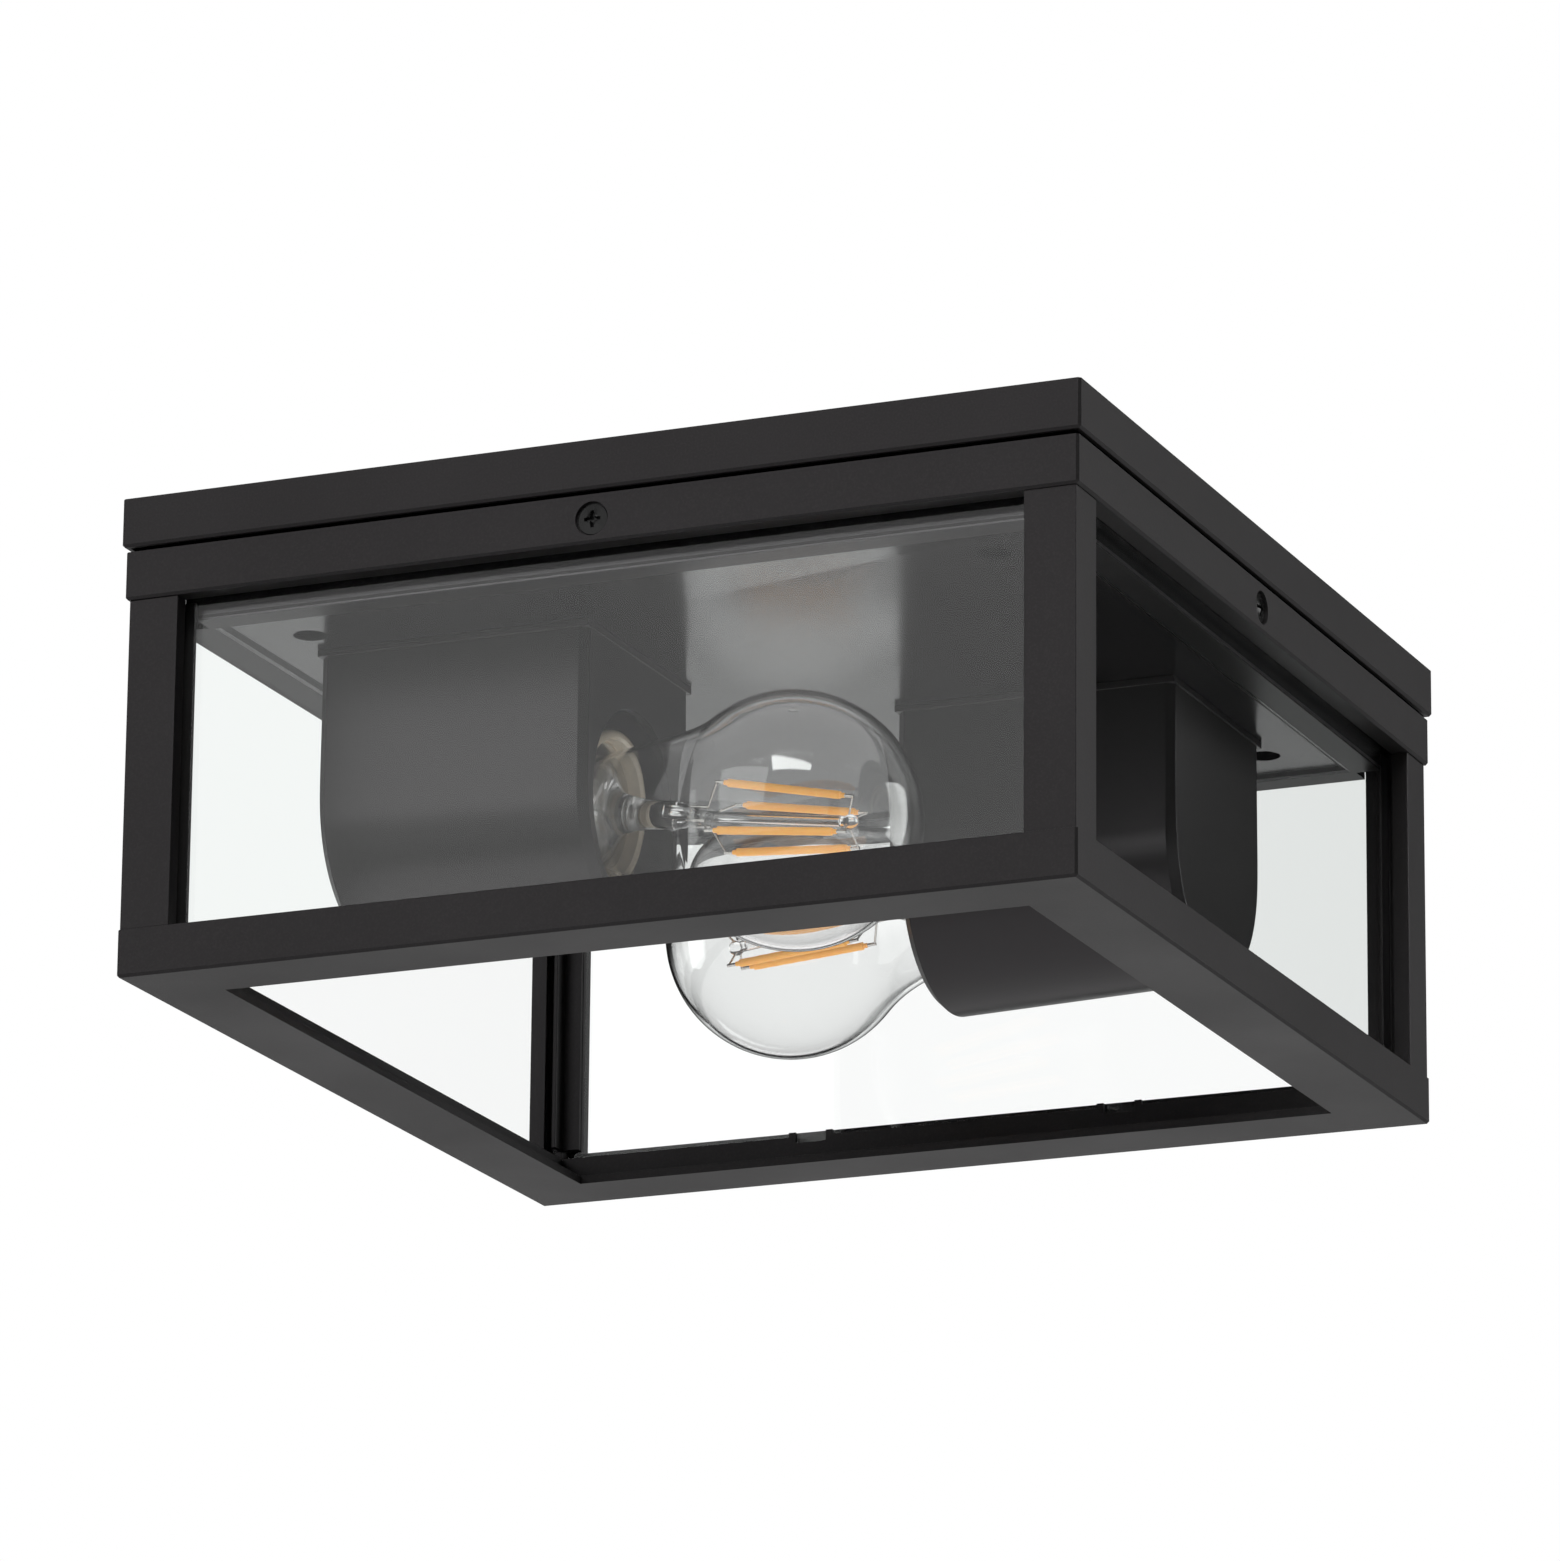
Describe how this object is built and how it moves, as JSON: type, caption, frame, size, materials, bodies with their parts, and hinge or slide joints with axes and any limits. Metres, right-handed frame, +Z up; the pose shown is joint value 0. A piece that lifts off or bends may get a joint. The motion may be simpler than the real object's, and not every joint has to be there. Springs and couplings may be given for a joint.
{
  "type": "ceiling lantern",
  "caption": "Square black box lantern fixed flat under a porch ceiling, with clear glass sides, an open underside and screw-in bulbs lying head to tail.",
  "frame": {"origin": "centre of the tray's ceiling face, in the plane that lies on the ceiling", "axes": "+Z up into the ceiling, +X along the bulbs' axes, +Y across them, away from the side that the picture shows on the left"},
  "size_m": [0.236, 0.236, 0.1137],
  "materials": {
    "black_coat": "fine-textured satin powder coat",
    "black_moulding": "fine-grained moulding",
    "black_screw": "blackened steel",
    "zinc_steel": "zinc plated",
    "pane_glass": "clear, polished",
    "bulb_glass": "clear, polished",
    "glazed_holder": "ivory glaze",
    "nickel_sleeve": "nickel plated",
    "brass_contact": "bright",
    "cap_metal": "plain",
    "dark_insulator": "glossy",
    "filament_coating": "amber phosphor silicone",
    "lead_wire": "bright wire",
    "terminal_plastic": "natural nylon",
    "grommet_rubber": "matt"
  },
  "bodies": {
    "lantern": {"ceiling_tray": "black_coat", "cable_grommet": "grommet_rubber", "inner_base": "black_moulding", "terminal_block": "terminal_plastic", "terminal_screw": "zinc_steel", "base_screws": "zinc_steel", "upper_ring": "black_coat", "lower_ring": "black_coat", "tie_rods": "zinc_steel", "frame_screws": "black_screw", "housing_screws": "zinc_steel", "bracket_screws": "zinc_steel", "holder_screws": "zinc_steel", "glass_front": "pane_glass", "glass_right": "pane_glass", "glass_back": "pane_glass", "glass_left": "pane_glass", "post_front_left": "black_coat", "post_front_right": "black_coat", "post_back_right": "black_coat", "post_back_left": "black_coat", "lamp_housing_1": "black_coat", "holder_bracket_1": "zinc_steel", "lampholder_1": "glazed_holder", "thread_sleeve_1": "nickel_sleeve", "centre_contact_1": "brass_contact", "lamp_housing_2": "black_coat", "holder_bracket_2": "zinc_steel", "lampholder_2": "glazed_holder", "thread_sleeve_2": "nickel_sleeve", "centre_contact_2": "brass_contact"},
    "bulb_1": {"bulb_globe_1": "bulb_glass", "bulb_cap_1": "cap_metal", "bulb_insulator_1": "dark_insulator", "bulb_contact_1": "cap_metal", "bulb_stem_1": "bulb_glass", "bulb_filaments_1": "filament_coating", "bulb_leads_1": "lead_wire"},
    "bulb_2": {"bulb_globe_2": "bulb_glass", "bulb_cap_2": "cap_metal", "bulb_insulator_2": "dark_insulator", "bulb_contact_2": "cap_metal", "bulb_stem_2": "bulb_glass", "bulb_filaments_2": "filament_coating", "bulb_leads_2": "lead_wire"}
  },
  "joints": [
    {"name": "bulb_1_turn", "type": "hinge", "parent": "lantern", "child": "bulb_1", "pos_m": [-0.02, -0.0446, -0.066], "axis": [0.9903, 0, -0.1392], "range_deg": [0, 720]},
    {"name": "bulb_2_turn", "type": "hinge", "parent": "lantern", "child": "bulb_2", "pos_m": [0.02, 0.0446, -0.066], "axis": [-0.9903, 0, -0.1392], "range_deg": [0, 720]}
  ]
}
